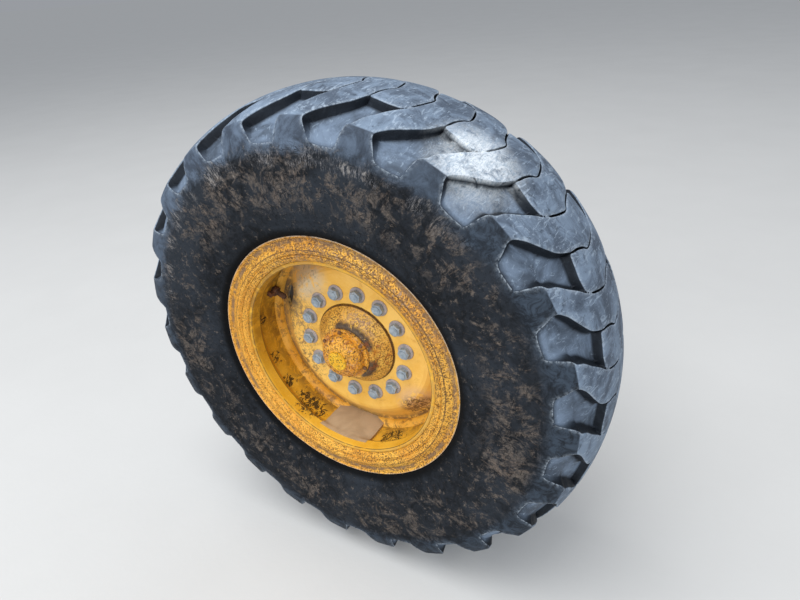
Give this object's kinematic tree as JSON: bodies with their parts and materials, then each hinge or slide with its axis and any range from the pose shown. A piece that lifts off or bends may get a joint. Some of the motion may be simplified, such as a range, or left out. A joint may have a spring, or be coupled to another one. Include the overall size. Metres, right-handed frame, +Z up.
{
  "type": "motor grader wheel on its axle end",
  "caption": "Large off-road wheel of a motor grader: directional lug tyre, five-piece dished rim, lug nuts and capped hub, turning on a flanged spindle.",
  "frame": {"origin": "centre of the mounting flange's face, where the axle end bolts to the steering knuckle", "axes": "+Y inboard along the axle, so the wheel's outboard face looks along -Y, +Z up"},
  "size_m": [1.3478, 0.465, 1.3466],
  "materials": {
    "tyre_rubber": "worn, dusty and mud stained",
    "wheel_paint": "weathered gloss with rust specks and mud",
    "hub_paint": "weathered, rust speckled and grimy",
    "nut_steel": "dull zinc with grime",
    "rusty_steel": "rusted",
    "machined_steel": "machined and oiled",
    "seal_rubber": "matte"
  },
  "bodies": {
    "axle_end": {"spindle_flange": "machined_steel", "spindle": "machined_steel", "outer_bearing": "machined_steel", "inner_bearing": "machined_steel"},
    "wheel": {"tyre": "tyre_rubber", "tread": "tyre_rubber", "rim_base": "wheel_paint", "outer_flange": "wheel_paint", "inner_flange": "wheel_paint", "bead_seat_band": "wheel_paint", "lock_ring": "wheel_paint", "rim_disc": "wheel_paint", "disc_weld_ring": "wheel_paint", "wheel_studs": "nut_steel", "wheel_washers": "nut_steel", "wheel_nuts": "nut_steel", "valve_stem": "nut_steel", "valve_cap": "nut_steel", "valve_clip": "rusty_steel", "hub": "hub_paint", "hub_cover": "hub_paint", "hub_cap": "hub_paint", "hub_cap_bolts": "nut_steel", "hub_seal": "seal_rubber"}
  },
  "joints": [
    {"name": "wheel_roll", "type": "hinge", "parent": "axle_end", "child": "wheel", "pos_m": [0, -0.262, 0], "axis": [0, 1, 0], "continuous": true}
  ]
}
